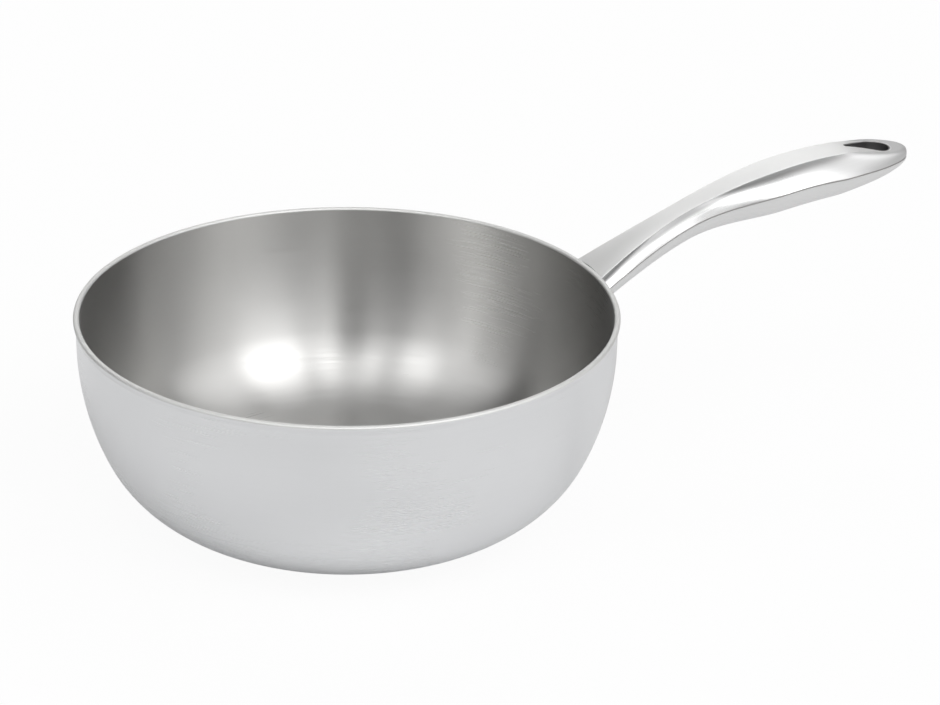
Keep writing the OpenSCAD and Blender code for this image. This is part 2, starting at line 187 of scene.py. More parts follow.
class SaucierStage(bpy.types.PropertyGroup):
    """Camera, light and floor"""
    distance: length("Camera distance", "Distance from the camera to the rim's centre", 1.200)
    elevation: amount("Camera elevation", "Degrees above the horizon", 23.768)
    handle_turn: amount("Handle turn", "Degrees by which the handle points back into the picture", 22.8)
    yaw: amount("Camera yaw", "Degrees by which the camera aims right of the rim's centre", 2.617)
    pitch: amount("Camera pitch", "Degrees by which it aims below the rim's centre", 0.979)
    roll: amount("Camera roll", "Degrees by which it leans", 0.018)
    focal: amount("Focal length", "Focal length in millimetres on a sensor 36 mm wide", 102.16)
    floor: colour("Floor", "Colour of the floor", (0.78, 0.78, 0.78))
    floor_glow: share("Floor glow", "How much of the floor's brightness is its own", 0.94)
    floor_shine: share("Floor glow in metal", "The same share as metal shows it", 0.05)
    backdrop: amount("Backdrop in metal", "Strength of the backdrop behind the pan, as metal shows it", 0.65)
    backdrop_up: amount("Backdrop height", "Degrees up at which it ends", 28.0)
    backdrop_from: amount("Backdrop edge", "Degrees round from the camera's side at which it starts", 140.0)
    key: amount("Key box", "Strength of the long soft box on the right", 1.8)
    key_core: amount("Key core", "Extra strength of its middle", 3.2)
    fill: amount("Fill box", "Strength of the soft box on the left", 1.4)
    fill_core: amount("Fill core", "Extra strength of its inner part", 2.3)
    bridge: amount("Bridge box", "Strength of the box over the camera", 2.4)
    low: amount("Low box", "Strength of the low box on the right", 0.8)
    low_left: amount("Low left box", "Strength of the low box on the left", 1.4)
    top: amount("Top box", "Strength of the box overhead", 1.1)
    back: amount("Back box", "Strength of the box behind the pan", 4.0)


def settings():
    scene = bpy.context.scene
    return scene.saucier_bowl, scene.saucier_handle, scene.saucier_finish, scene.saucier_stage


# Materials

class Recipe:
    """A node tree that is built up one node at a time"""

    def __init__(self, tree):
        self.tree = tree
        tree.nodes.clear()

    def add(self, kind, choices=None, **inputs):
        node = self.tree.nodes.new("ShaderNode" + kind)
        for name, value in (choices or {}).items():
            setattr(node, name, value)
        for name, value in inputs.items():
            self.feed(node.inputs[name.replace("_", " ")], value)
        return node

    def feed(self, socket, value):
        if isinstance(value, bpy.types.NodeSocket):
            self.tree.links.new(value, socket)
        else:
            socket.default_value = value

    def math(self, operation, *values):
        node = self.tree.nodes.new("ShaderNodeMath")
        node.operation = operation
        for socket, value in zip(node.inputs, values):
            self.feed(socket, value)
        return node.outputs[0]

    def between(self, value, low, high, to_low, to_high):
        """Eases from to_low to to_high while the value runs from low to high"""
        node = self.add("MapRange", {"interpolation_type": "SMOOTHSTEP"}, Value=value, From_Min=low,
                        From_Max=high, To_Min=to_low, To_Max=to_high)
        return node.outputs["Result"]

    def layer(self, name):
        """The two coordinates of one of the mesh's layers"""
        place = self.add("SeparateXYZ", Vector=self.add("UVMap", {"uv_map": name}).outputs["UV"])
        return place.outputs["X"], place.outputs["Y"]


def material_recipe(name):
    material = bpy.data.materials.new(name)
    material.use_nodes = True
    return material, Recipe(material.node_tree)


# Depth of a finish's lines at a groove of 1, and the turn that spreads a reflection across them
GROOVE_DEPTH = 0.00004
ACROSS_LINES = 0.25
# Broad clouds in a finish: their scale for each metre, and how much they change its roughness
CLOUD_SCALE = 14.0
CLOUD_UNEVEN = 0.02
# The part of each noise's range over which the roughness changes
LINE_RANGE = (0.25, 0.75)
CLOUD_RANGE = (0.3, 0.7)
# The lines' share in the change of colour, against the clouds'
FINE_SHARE = 0.6


def ring_lines(recipe, along, across):
    """Places for noise in rings round the bowl's axis. Its scales along and across are for each metre."""
    xyz = recipe.add("SeparateXYZ", Vector=recipe.add("TexCoord").outputs["Object"])
    vector = recipe.add("CombineXYZ", X=recipe.math("MULTIPLY", xyz.outputs["X"], along),
                        Y=recipe.math("MULTIPLY", xyz.outputs["Y"], along),
                        Z=recipe.math("MULTIPLY", recipe.layer("path")[1], across))
    return vector.outputs["Vector"]


def long_lines(recipe, along, across):
    """The same for noise drawn out along the handle"""
    out, side = recipe.layer("path")
    vector = recipe.add("CombineXYZ", X=recipe.math("MULTIPLY", out, along),
                        Y=recipe.math("MULTIPLY", side, across))
    return vector.outputs["Vector"]


def steel(name, tint, roughness, lines, along, across, spread=0.0, groove=0.15, mottle=0.03, uneven=0.05,
          later=None, step=None):
    """Steel with fine lines from its last brushing, uneven in shine and slightly uneven in colour

    spread is how far a reflection is drawn out across the lines, and groove how deep they are. mottle and
    uneven are their change of colour and of roughness. later is a roughness that the handle takes on between
    two distances, and step the share of colour and the extra roughness where the piece's step layer is 1.
    That share darkens the colour there as painted shade.
    """
    material, recipe = material_recipe(name)
    fine = recipe.add("TexNoise", {"noise_dimensions": "3D"}, Vector=lines(recipe, along, across), Scale=1.0,
                      Detail=3.0, Roughness=0.6).outputs["Fac"]
    broad = recipe.add("TexNoise", Vector=recipe.add("TexCoord").outputs["Object"], Scale=CLOUD_SCALE,
                       Detail=2.0, Roughness=0.5).outputs["Fac"]
    base = roughness
    if later is not None:
        base = recipe.between(recipe.layer("path")[0], later[1], later[2], roughness, later[0])
    if step is not None:
        # The step layer marks a band of painted shade, which also takes extra roughness
        painted_shade_and_dullness = recipe.layer("step")[0]
        base = recipe.math("ADD", base, recipe.math("MULTIPLY", painted_shade_and_dullness, step[1]))
    fine_change = recipe.between(fine, *LINE_RANGE, -uneven, uneven)
    broad_change = recipe.between(broad, *CLOUD_RANGE, -CLOUD_UNEVEN, CLOUD_UNEVEN)
    shine = recipe.math("ADD", base, recipe.math("ADD", fine_change, broad_change))
    both = recipe.math("ADD", recipe.math("MULTIPLY", fine, FINE_SHARE),
                       recipe.math("MULTIPLY", broad, 1.0 - FINE_SHARE))
    shade = recipe.add("Mix", {"data_type": "RGBA"}, Factor=both)
    shade.inputs[6].default_value = tuple(c * (1.0 - 2.0 * mottle) for c in tint) + (1.0,)
    shade.inputs[7].default_value = tuple(min(1.0, c * (1.0 + mottle)) for c in tint) + (1.0,)
    tone = shade.outputs[2]
    if step is not None:
        # Painted shade: the colour darkens towards this share of the tint where the step layer is 1
        painted_shade_mix = recipe.add("Mix", {"data_type": "RGBA"}, Factor=painted_shade_and_dullness)
        recipe.feed(painted_shade_mix.inputs[6], tone)
        painted_shade_mix.inputs[7].default_value = tuple(c * step[0] for c in tint) + (1.0,)
        tone = painted_shade_mix.outputs[2]
    bump = recipe.add("Bump", Strength=groove, Distance=GROOVE_DEPTH, Height=fine)
    shader = recipe.add("BsdfPrincipled", Base_Color=tone, Metallic=1.0, Roughness=shine,
                        Normal=bump.outputs["Normal"])
    if spread > 0.0:
        shader.inputs["Anisotropic"].default_value = spread
        shader.inputs["Anisotropic Rotation"].default_value = ACROSS_LINES
        if lines is ring_lines:
            run = recipe.add("Tangent", {"direction_type": "RADIAL", "axis": "Z"})
        else:
            run = recipe.add("Tangent", {"direction_type": "UV_MAP", "uv_map": "path"})
        recipe.feed(shader.inputs["Tangent"], run.outputs["Tangent"])
    recipe.add("OutputMaterial", Surface=shader.outputs["BSDF"])
    return material


def ground_steel(name, finish):
    return steel(name, finish.rim, finish.rim_rough, ring_lines, along=26.0, across=1500.0, groove=0.05)


# Meshes

def add_object(name, data):
    thing = bpy.data.objects.new(name, data)
    bpy.context.scene.collection.objects.link(thing)
    return thing


def make_piece(name, points, faces, paths, materials, marks=None, steps=None):
    """A mesh object from points and faces, with a path coordinate, or also a share of painted shade in the
    step layer, for each face corner
    """
    mesh = bpy.data.meshes.new(name)
    mesh.from_pydata([tuple(p) for p in points], [], [tuple(int(i) for i in f) for f in faces])
    layer = mesh.uv_layers.new(name="path")
    layer.data.foreach_set("uv", np.asarray(paths, np.float32).ravel())
    if steps is not None:
        layer = mesh.uv_layers.new(name="step")
        layer.data.foreach_set("uv", np.asarray(steps, np.float32).ravel())
    for material in materials:
        mesh.materials.append(material)
    if marks is not None:
        mesh.polygons.foreach_set("material_index", np.asarray(marks, np.int32))
    mesh.validate()
    mesh.shade_smooth()
    return add_object(name, mesh)


def dress(piece, node):
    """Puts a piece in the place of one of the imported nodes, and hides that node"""
    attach(piece, BODY)
    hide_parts(node)


def keep_sharp(piece, over):
    """Leaves edges sharp that turn by more than this many degrees"""
    piece.data.set_sharp_from_angle(angle=math.radians(over))


def run_along(points):
    """Distances along a line of points, from 0 at the first"""
    return np.concatenate([[0.0], np.cumsum(np.linalg.norm(np.diff(points, axis=0), axis=1))])


def closed_grid(index, place):
    """Faces over a grid of point numbers that closes up both ways, without corners that lie on one point

    place gives the path coordinate at a row and a column. The last list says which column a face starts in.
    """
    rows, columns = index.shape
    faces, paths, starts = [], [], []
    for k in range(rows):
        n = (k + 1) % rows
        for i in range(columns):
            j = (i + 1) % columns
            corners = {}
            for point, row, column in ((index[k, i], k, i), (index[n, i], k + 1, i),
                                       (index[n, j], k + 1, i + 1), (index[k, j], k, i + 1)):
                corners.setdefault(int(point), place(row, column))
            if len(corners) > 2:
                faces.append(tuple(corners))
                paths.extend(corners.values())
                starts.append(i)
    return faces, paths, starts


ON_AXIS = 1e-9


def spin(name, outline, turns, materials, marks):
    """A closed outline of (radius, height) points, spun round the axis. Points on the axis close up."""
    outline = np.asarray(outline, float)
    count = len(outline)
    angles = np.linspace(0.0, 2.0 * math.pi, turns, endpoint=False)
    points = []
    index = np.zeros((turns, count), int)
    for i, (r, z) in enumerate(outline):
        if r < ON_AXIS:
            index[:, i] = len(points)
            points.append((0.0, 0.0, z))
        else:
            index[:, i] = len(points) + np.arange(turns)
            points.extend((r * math.cos(a), r * math.sin(a), z) for a in angles)
    along = run_along(np.vstack([outline, outline[:1]]))
    faces, paths, starts = closed_grid(index, lambda k, i: (k / turns, along[i]))
    return make_piece(name, points, faces, paths, materials, [marks[i] for i in starts])


def smooth(t):
    """Eases from 0 to 1 while t runs from 0 to 1"""
    t = np.clip(t, 0.0, 1.0)
    return t * t * (3.0 - 2.0 * t)


class BowlSection:
    """The bowl's section: flat base, bend, long sweep and straight band, with a lip on the outside only"""

    BASE_STEPS, BEND_STEPS, SIDE_STEPS, BAND_STEPS, LIP_STEPS = 24, 48, 30, 4, 12

    def __init__(self, sizes, inside=False):
        self.s = sizes
        self.side_r = sizes.side_r if inside else sizes.back_side_r
        self.straight_h = sizes.straight_h if inside else sizes.back_straight_h
        self.lip_out = 0.0 if inside else sizes.lip_out
        self.wall_r = sizes.rim_r - self.lip_out
        spread = self.wall_r - sizes.base_r
        sweep = sizes.height - self.straight_h
        self.bend_r = ((spread ** 2 + sweep ** 2 - 2.0 * self.side_r * spread)
                       / (2.0 * (sweep - self.side_r)))
        self.turn = math.acos((self.side_r - spread) / (self.side_r - self.bend_r))
        self.side_c = (self.wall_r - self.side_r, sweep)
        self.bend_c = (sizes.base_r, self.bend_r)

    def flare(self, z):
        """How far the lip has run out at a height over the rim, which is negative below it"""
        return self.lip_out * smooth((z + self.s.lip_h) / (self.s.lip_h - self.s.rim_round))

    def wall(self, inset):
        """Points of the wall drawn in by inset, from the axis out and up to the end of the lip's flare"""
        s = self.s
        points = [(s.base_r * k / self.BASE_STEPS, inset) for k in range(self.BASE_STEPS)]
        for k in range(self.BEND_STEPS):
            a = math.radians(90.0) + (self.turn - math.radians(90.0)) * k / self.BEND_STEPS
            r = self.bend_r - inset
            points.append((self.bend_c[0] + r * math.cos(a), self.bend_c[1] - r * math.sin(a)))
        for k in range(self.SIDE_STEPS):
            a = self.turn * (1.0 - k / self.SIDE_STEPS)
            r = self.side_r - inset
            points.append((self.side_c[0] + r * math.cos(a), self.side_c[1] - r * math.sin(a)))
        for k in range(self.BAND_STEPS):
            z = self.side_c[1] + (self.straight_h - s.lip_h) * k / self.BAND_STEPS
            points.append((self.wall_r - inset, z))
        for k in range(self.LIP_STEPS):
            z = -s.lip_h + (s.lip_h - s.rim_round) * k / self.LIP_STEPS
            points.append((self.wall_r - inset + float(self.flare(z)), s.height + z))
        return points

    def radius_at(self, z):
        """Outside radius of the wall at a height over the rim, which is negative below it"""
        drop = np.maximum(0.0, -(z + self.straight_h))
        return self.side_c[0] + np.sqrt(self.side_r ** 2 - drop ** 2) + self.flare(z)


ARC_STEPS = 8


def arc(centre, radius, start, end):
    """Points round an arc from one angle to another, in degrees in the (radius, height) plane"""
    angles = [math.radians(start + (end - start) * k / ARC_STEPS) for k in range(ARC_STEPS + 1)]
    return [(centre[0] + radius * math.cos(a), centre[1] + radius * math.sin(a)) for a in angles]


class BowlPlies:
    """Outlines of the three plies, which lie between the food side and the outside"""

    def __init__(self, sizes):
        s = self.s = sizes
        self.food, self.back = BowlSection(sizes, inside=True), BowlSection(sizes)
        self.depth = s.outer_ply + s.core_ply
        self.joint_r = s.rim_r - self.depth
        # The rim's inner rounding starts on the inner ply and runs on over the outer ply's cover
        self.lip_c = (self.joint_r - s.inner_ply + s.lip_round, s.height - s.lip_round)
        self.joint = math.degrees(math.acos((self.joint_r - self.lip_c[0]) / s.lip_round))

    def cooking(self):
        """The inner ply: its food side up to the rim's rounding, and back down the joint with the core"""
        up = self.food.wall(self.depth + self.s.inner_ply)
        lip = arc(self.lip_c, self.s.lip_round, 180.0, self.joint)
        return up + lip + self.food.wall(self.depth)[::-1], len(up)

    def core(self):
        """The aluminium between the steels, which ends under the rim's cover"""
        top = self.s.height - self.s.rim_cover
        ends = [(self.joint_r, top), (self.s.rim_r - self.s.outer_ply, top)]
        return self.food.wall(self.depth) + ends + self.back.wall(self.s.outer_ply)[::-1]

    def shell(self):
        """The outer ply: its back, the cover over the core's edge, the rounded rim and the outside"""
        s = self.s
        low = s.height - s.rim_cover
        up = self.back.wall(s.outer_ply) + [(s.rim_r - s.outer_ply, low), (self.joint_r, low)]
        rim = arc(self.lip_c, s.lip_round, self.joint, 90.0)
        rim += arc((s.rim_r - s.rim_round, s.height - s.rim_round), s.rim_round, 90.0, 0.0)
        return up + rim + self.back.wall(0.0)[::-1], len(up), len(rim)


# Handle

def hermite(t, a, b, da, db):
    """A curve from a to b that leaves with slope da and arrives with slope db"""
    return (a * (2 * t ** 3 - 3 * t ** 2 + 1) + da * (t ** 3 - 2 * t ** 2 + t)
            + b * (3 * t ** 2 - 2 * t ** 3) + db * (t ** 3 - t ** 2))


def places(u, y, z):
    """Points from coordinates that are arrays or single numbers"""
    return np.stack(np.broadcast_arrays(u, y, z), -1)


class HandleForm:
    """The handle's skin, worked out from its sizes. u is the distance out, y across and z over the rim."""

    # Distances back from the tip: where the strip's width starts and stops changing, where its crown
    # settles, and inside which the flank is all dome
    STRIP_TURN = (0.060, 0.025)
    CROWN_SETTLE = 0.030
    DOME_FULL = 0.012
    # Distances back from the tip between which the flank's polish gives way to the dome's satin
    DULLING = (0.075, 0.030)
    # Powers of the round ends, seen from above and from the side, and of the belly's section
    END_POWER = 1.0
    KEEL_POWER = 1.3
    BELLY_POWER = 2.5
    # Distance from the wall over which the root takes on the wall's shape
    ROOT_FADE = 0.030
    # The flank's curve from strip to seam: its two inner control points as shares of the way out and down,
    # along the grip, at the neck, and over the tip's dome. The neck's form reaches this far each way.
    FLANK = ((0.0, 0.42), (0.54, 0.78))
    NECK = ((0.24, 0.30), (0.66, 0.68))
    DOME = ((0.85, -0.06), (1.0, 0.12))
    NECK_REACH = 0.036

    def __init__(self, sizes, section):
        self.h = sizes
        self.section = section
        self.strip_reach = sizes.reach - sizes.tip_gap + sizes.hole_lip
        self.hole_x = section.s.rim_r + sizes.reach - sizes.tip_gap - sizes.hole_r
        self.hole_back = sizes.hole_l - sizes.hole_r - sizes.hole_tip_r
        self.hole_slope = math.asin((sizes.hole_r - sizes.hole_tip_r) / self.hole_back)

    def crest_z(self, u):
        h = self.h
        up = hermite(u / h.peak_at, h.root_z, h.peak_z, h.root_slope * h.peak_at, 0.0)
        past = (u - h.peak_at) / (h.reach - h.peak_at)
        down = hermite(past, h.peak_z, h.peak_z - h.tip_drop, 0.0, 0.0)
        return np.where(u < h.peak_at, up, down)

    def between(self, u, root, neck, grip, power=2.0):
        """A size that has these values at the wall, at the neck and from the full grip on"""
        h = self.h
        near = neck + (root - neck) * np.maximum(0.0, 1.0 - u / h.neck_at) ** power
        far = neck + (grip - neck) * smooth((u - h.neck_at) / (h.grip_at - h.neck_at))
        return np.where(u < h.neck_at, near, far)

    @staticmethod
    def round_end(u, end, size, power):
        """Runs from 1 down to 0 over the last stretch before the end"""
        return (1.0 - np.clip((u - end + size) / size, 0.0, 1.0) ** 2) ** (power / 2.0)

    def strip_half(self, u):
        h = self.h
        start, stop = self.STRIP_TURN
        return (self.between(u, h.strip_root, h.strip_neck, h.strip_grip, h.flare) / 2.0
                + (h.strip_end - h.strip_grip) / 2.0 * smooth((u - h.reach + start) / (start - stop)))

    def crown_h(self, u):
        h = self.h
        way = (u - h.neck_at) / (h.reach - self.CROWN_SETTLE - h.neck_at)
        return h.crown + (h.crown_end - h.crown) * smooth(way)

    def side_drop(self, u):
        h = self.h
        return self.between(u, h.side_root, h.side_neck, h.side_grip)

    def seam_z(self, u):
        h = self.h
        rise = (h.side_tip - h.side_grip) * smooth((u - h.reach + h.side_len) / h.side_len)
        return self.crest_z(u) - self.side_drop(u) - rise

    def body_y(self, u, inset):
        h = self.h
        way = (u - h.grip_at) / (h.reach - h.end_len - h.grip_at)
        half = (self.between(u, h.body_root, h.body_neck, h.body_grip, h.flare) / 2.0
                + (h.body_end - h.body_grip) / 2.0 * smooth(way))
        return (half - inset) * self.round_end(u, h.reach - inset, h.end_len - inset, self.END_POWER)

    def belly(self, u, inset):
        h = self.h
        depth = self.between(u, h.depth_root, h.depth_neck, h.depth_grip) - self.side_drop(u) - inset
        return depth * self.round_end(u, h.reach - inset, h.keel_len, self.KEEL_POWER)

    def strip_at(self, s, v, inset):
        """A place on the strip: s runs from wall to tip, and v from -1 on one edge to 1 on the other"""
        u = s * (self.strip_reach - inset)
        full = self.strip_half(u)
        end = self.round_end(u, self.strip_reach - inset, self.h.strip_end / 2.0 - inset, 1.0)
        y = v * (full - inset) * end
        return places(u, y, self.crest_z(u) - inset - self.crown_h(u) * (y / full) ** 2)

    def seam_at(self, s, side, up, inset):
        """A place on the seam weld's upper edge with up at 1, or its lower edge with up at -1"""
        u = s * (self.h.reach - inset)
        return places(u, side * self.body_y(u, inset), self.seam_z(u) + up * self.h.seam_w / 2.0)

    def flank_at(self, s, side, t, inset):
        """A place on the flank: t runs from 0 on the strip's edge to 1 on the seam"""
        p = self.strip_at(s, side, inset)
        d = self.seam_at(s, side, 1.0, inset) - p
        dome = smooth((p[..., 0] - self.h.reach + self.h.dome_len) / (self.h.dome_len - self.DOME_FULL))
        neck = 1.0 - smooth(np.abs(p[..., 0] - self.h.neck_at) / self.NECK_REACH)

        def bend(axis):
            controls = []
            for plain, at_neck, at_dome in zip(self.FLANK, self.NECK, self.DOME):
                form = plain[axis] + neck * (at_neck[axis] - plain[axis])
                controls.append(form + dome * (at_dome[axis] - form))
            near, far = controls
            return 3 * (1 - t) ** 2 * t * near + 3 * (1 - t) * t ** 2 * far + t ** 3

        out, down = bend(0), bend(1)
        return p + np.stack([out * d[..., 0], out * d[..., 1], down * d[..., 2]], -1)

    def belly_at(self, s, across, inset):
        """A place on the belly: across runs from -1 on one seam to 1 on the other"""
        u = s * (self.h.reach - inset)
        a = math.radians(90.0) * (1.0 - np.abs(across))
        power = 2.0 / self.BELLY_POWER
        y = np.sign(across) * self.body_y(u, inset) * np.clip(np.cos(a), 0.0, 1.0) ** power
        z = self.seam_z(u) - self.h.seam_w / 2.0 - self.belly(u, inset) * np.sin(a) ** power
        return places(u, y, z)

    def seat(self, p):
        """Moves places on the handle into the pan's frame, where the root follows the wall"""
        p = np.asarray(p, float)
        rim_r = self.section.s.rim_r
        wall = np.sqrt(self.section.radius_at(p[..., 2]) ** 2 - p[..., 1] ** 2)
        lean = np.maximum(0.0, 1.0 - p[..., 0] / self.ROOT_FADE) ** 2
        x = rim_r + p[..., 0] + lean * (wall + self.h.root_gap - rim_r)
        return np.stack([x, p[..., 1], self.section.s.height + p[..., 2]], -1)

    def strip_top(self, u, y):
        """Height of the strip at a place seen from above"""
        return self.crest_z(u) - self.crown_h(u) * (y / self.strip_half(u)) ** 2

    def belly_low(self, u, y):
        """Height of the belly there"""
        level = np.maximum(0.0, 1.0 - np.abs(y / self.body_y(u, 0.0)) ** self.BELLY_POWER)
        drop = self.belly(u, 0.0) * level ** (1.0 / self.BELLY_POWER)
        return self.seam_z(u) - self.h.seam_w / 2.0 - drop

    def teardrop(self, grow):
        """The hole's outline, grown all round, as points round it"""
        h = self.h
        turn = math.radians(90.0) + self.hole_slope
        big = np.linspace(-1.0, 1.0, 2 * HOLE_STEPS + 1) * turn
        small = turn + np.linspace(0.0, 1.0, HOLE_STEPS) * (math.pi - 2.0 * self.hole_slope)
        points = []
        for radius, back, angles in ((h.hole_r + grow, 0.0, big),
                                     (h.hole_tip_r + grow, self.hole_back, small)):
            points += [(radius * math.cos(a) - back, radius * math.sin(a)) for a in angles]
        return [(self.hole_x + x, y) for x, y in points]


# Stations along the handle as shares of its length: even as far as here, and then closing up to the tip
EVEN_TO = 0.75
STATIONS = np.concatenate([[0.0], np.linspace(0.002, EVEN_TO, 150),
                           EVEN_TO + (1.0 - EVEN_TO) * np.sin(np.linspace(0.0, math.pi / 2.0, 90))[1:]])
STRIP_STEPS, CREASE_STEPS, FLANK_STEPS, BELLY_STEPS, HOLE_STEPS = 10, 6, 26, 30, 40
# Points on half the strip and on a flank from which their lengths are measured
STRIP_SAMPLES, FLANK_SAMPLES = 41, 121
# The crease's rounding takes no more than these shares of them, which matters only near the tip
STRIP_SHARE, FLANK_SHARE = 0.5, 0.3


def half_section(form, s, side, inset, crease_r):
    """One station's points from the crest's middle over the rounded crease and down the flank to the seam"""
    strip = form.strip_at(s, side * np.linspace(0.0, 1.0, STRIP_SAMPLES), inset)
    flank = form.flank_at(s, side, np.linspace(0.0, 1.0, FLANK_SAMPLES), inset)
    strip_run, flank_run = run_along(strip), run_along(flank)
    r = min(crease_r, STRIP_SHARE * strip_run[-1], FLANK_SHARE * flank_run[-1])

    def along(points, run, distances):
        return np.stack([np.interp(distances, run, points[:, k]) for k in range(3)], -1)

    top = along(strip, strip_run, np.linspace(0.0, strip_run[-1] - r, STRIP_STEPS))
    low = along(flank, flank_run, r + (flank_run[-1] - r) * np.linspace(0.0, 1.0, FLANK_STEPS))
    t = np.linspace(0.0, 1.0, CREASE_STEPS + 2)[1:-1, None]
    corner = (1 - t) ** 2 * top[-1] + 2 * (1 - t) * t * strip[-1] + t ** 2 * low[0]
    return np.vstack([top, corner, low])


def top_rows(form, inset, crease_r):
    """Rows of points across the top shell, from one seam over the crest to the other"""
    rows = []
    for s in STATIONS:
        left = half_section(form, s, -1.0, inset, crease_r)
        right = half_section(form, s, 1.0, inset, crease_r)
        rows.append(np.vstack([left[::-1], right[1:]]))
    return form.seat(np.array(rows))


def belly_rows(form, inset):
    """Rows of points across the bottom shell, from one seam under the belly to the other"""
    across = np.linspace(-1.0, 1.0, 2 * BELLY_STEPS + 1)
    return form.seat(np.array([form.belly_at(s, across, inset) for s in STATIONS]))


# A band of painted shade under the strip, with extra roughness, at distances from the wall: its width as a
# share of the flank, and how deep its painted shade and roughness are. It is at its full over the first
# stretch of its width, and fades over the rest.
PAINTED_SHADE_WIDTHS = ((0.0, 0.80), (0.046, 0.60), (0.100, 0.36), (0.150, 0.20))
PAINTED_SHADE_AND_DULLNESS = ((0.0, 0.7), (0.030, 1.0), (0.055, 1.0), (0.085, 0.62), (0.125, 0.42), (0.150, 0.0))
PAINTED_SHADE_FULL = 0.3


def flank_painted_shade(reach):
    """How much painted shade and extra roughness each point of the top shell takes, from 0 to 1, which only
    the flanks' steel reads
    """
    out = STATIONS[:, None] * reach
    width = np.interp(out, *zip(*PAINTED_SHADE_WIDTHS))
    shade_depth = np.interp(out, *zip(*PAINTED_SHADE_AND_DULLNESS))
    down = np.concatenate([np.zeros(STRIP_STEPS + CREASE_STEPS), np.linspace(0.0, 1.0, FLANK_STEPS)])
    side = shade_depth * (1.0 - smooth((down[None] / width - PAINTED_SHADE_FULL) / (1.0 - PAINTED_SHADE_FULL)))
    return np.hstack([side[:, ::-1], side[:, 1:]])


def shell_from_rows(name, outer, inner, materials, marks, flip, painted_shade_and_dullness=None):
    """A closed sheet shell between two skins whose last rows close up on the middle line"""
    rows, width = outer.shape[:2]
    skins = np.concatenate([outer.reshape(-1, 3), inner.reshape(-1, 3)])
    grid = np.arange(rows * width).reshape(rows, width)
    back = grid + rows * width
    widths = np.linalg.norm(np.diff(outer, axis=1), axis=2)
    across = np.concatenate([np.zeros((rows, 1)), np.cumsum(widths, axis=1)], axis=1)
    across -= across[:, width // 2][:, None]
    along = run_along(outer[:, width // 2])
    path = np.stack(np.broadcast_arrays(along[:, None], across), -1).reshape(-1, 2)
    quads, kinds = [], []

    def quad(a, b, c, d, kind):
        quads.append((a, b, c, d) if not flip else (d, c, b, a))
        kinds.append(kind)

    for j in range(rows - 1):
        for i in range(width - 1):
            quad(grid[j, i], grid[j + 1, i], grid[j + 1, i + 1], grid[j, i + 1], marks[i])
            quad(back[j, i], back[j, i + 1], back[j + 1, i + 1], back[j + 1, i], marks[i])
        quad(grid[j, 0], back[j, 0], back[j + 1, 0], grid[j + 1, 0], marks[0])
        quad(grid[j, -1], grid[j + 1, -1], back[j + 1, -1], back[j, -1], marks[-1])
    for i in range(width - 1):
        quad(grid[0, i], grid[0, i + 1], back[0, i + 1], back[0, i], marks[i])
    corners = np.array(quads).ravel()
    steps = None
    if painted_shade_and_dullness is not None:
        steps = np.tile(np.column_stack([painted_shade_and_dullness.ravel(), np.zeros(painted_shade_and_dullness.size)]), (2, 1))[corners]
    piece = make_piece(name, skins, quads, np.tile(path, (2, 1))[corners], materials, kinds, steps)
    close_up(piece)
    return piece


def close_up(piece):
    """Joins points that lie together, and drops faces that have closed up"""
    gap = 1e-7
    mesh = bmesh.new()
    mesh.from_mesh(piece.data)
    bmesh.ops.remove_doubles(mesh, verts=mesh.verts, dist=gap)
    bmesh.ops.dissolve_degenerate(mesh, dist=gap, edges=mesh.edges)
    mesh.to_mesh(piece.data)
    mesh.free()
    piece.data.shade_smooth()


def prism(name, outline, low, high):
    """A plain upright prism, used as a cutter"""
    n = len(outline)
    points = [(x, y, low) for x, y in outline] + [(x, y, high) for x, y in outline]
    faces = [tuple(reversed(range(n))), tuple(range(n, 2 * n))]
    faces += [(i, (i + 1) % n, n + (i + 1) % n, n + i) for i in range(n)]
    mesh = bpy.data.meshes.new(name)
    mesh.from_pydata(points, [], faces)
    return add_object(name, mesh)


# How far the hole's cutter runs past the handle
CUT_OVER = 0.01


def cut_hole(piece, form):
    """Cuts the teardrop through a shell, and leaves the cut and the shell's own edges sharp"""
    h = form.h
    low = form.section.s.height
    outline = form.teardrop(h.sleeve + h.sleeve_clear)
    cutter = prism("hole_cutter", outline, low, low + h.peak_z + CUT_OVER)
    cut = piece.modifiers.new("hole", "BOOLEAN")
    cut.operation, cut.solver, cut.object = "DIFFERENCE", "EXACT", cutter
    bpy.context.view_layer.objects.active = piece
    with bpy.context.temp_override(object=piece, active_object=piece):
        bpy.ops.object.modifier_apply(modifier=cut.name)
    bpy.data.objects.remove(cutter)
    keep_sharp(piece, over=50.0)


def tube(name, loops, materials):
    """A solid swept through loops of points, with its ends filled"""
    loops = np.asarray(loops, float)
    count, sides = loops.shape[:2]
    faces, paths = [], []
    run = run_along(loops[:, 0])
    for k in range(count - 1):
        for c in range(sides):
            e = (c + 1) % sides
            faces.append((k * sides + c, k * sides + e, (k + 1) * sides + e, (k + 1) * sides + c))
            paths += [(run[k], c / sides), (run[k], (c + 1) / sides), (run[k + 1], (c + 1) / sides),
                      (run[k + 1], c / sides)]
    for ends in (range(sides - 1, -1, -1), range((count - 1) * sides, count * sides)):
        faces.append(tuple(ends))
        paths += [(0.0, 0.0)] * sides
    return make_piece(name, loops.reshape(-1, 3), faces, paths, materials)


# Operators

class SAUCIER_OT_cooking_surface(bpy.types.Operator):
    """Spins the inner ply and gives it the ring-brushed finish that food touches"""
    bl_idname = "saucier.cooking_surface"
    bl_label = "Cooking surface"

    def execute(self, context):
        bowl, _, finish, _ = settings()
        outline, food = BowlPlies(bowl).cooking()
        brushed = steel("ring_brushed_steel", finish.inside, finish.inside_rough, ring_lines, along=26.0,
                        across=3200.0, spread=finish.inside_spread, groove=0.13, uneven=0.035)
        ground = ground_steel("ground_lip", finish)
        marks = [0] * food + [1] * (len(outline) - food)
        piece = spin("cooking_surface_spun", outline, bowl.turns, [brushed, ground], marks)
        dress(piece, "cooking_surface")
        return {"FINISHED"}


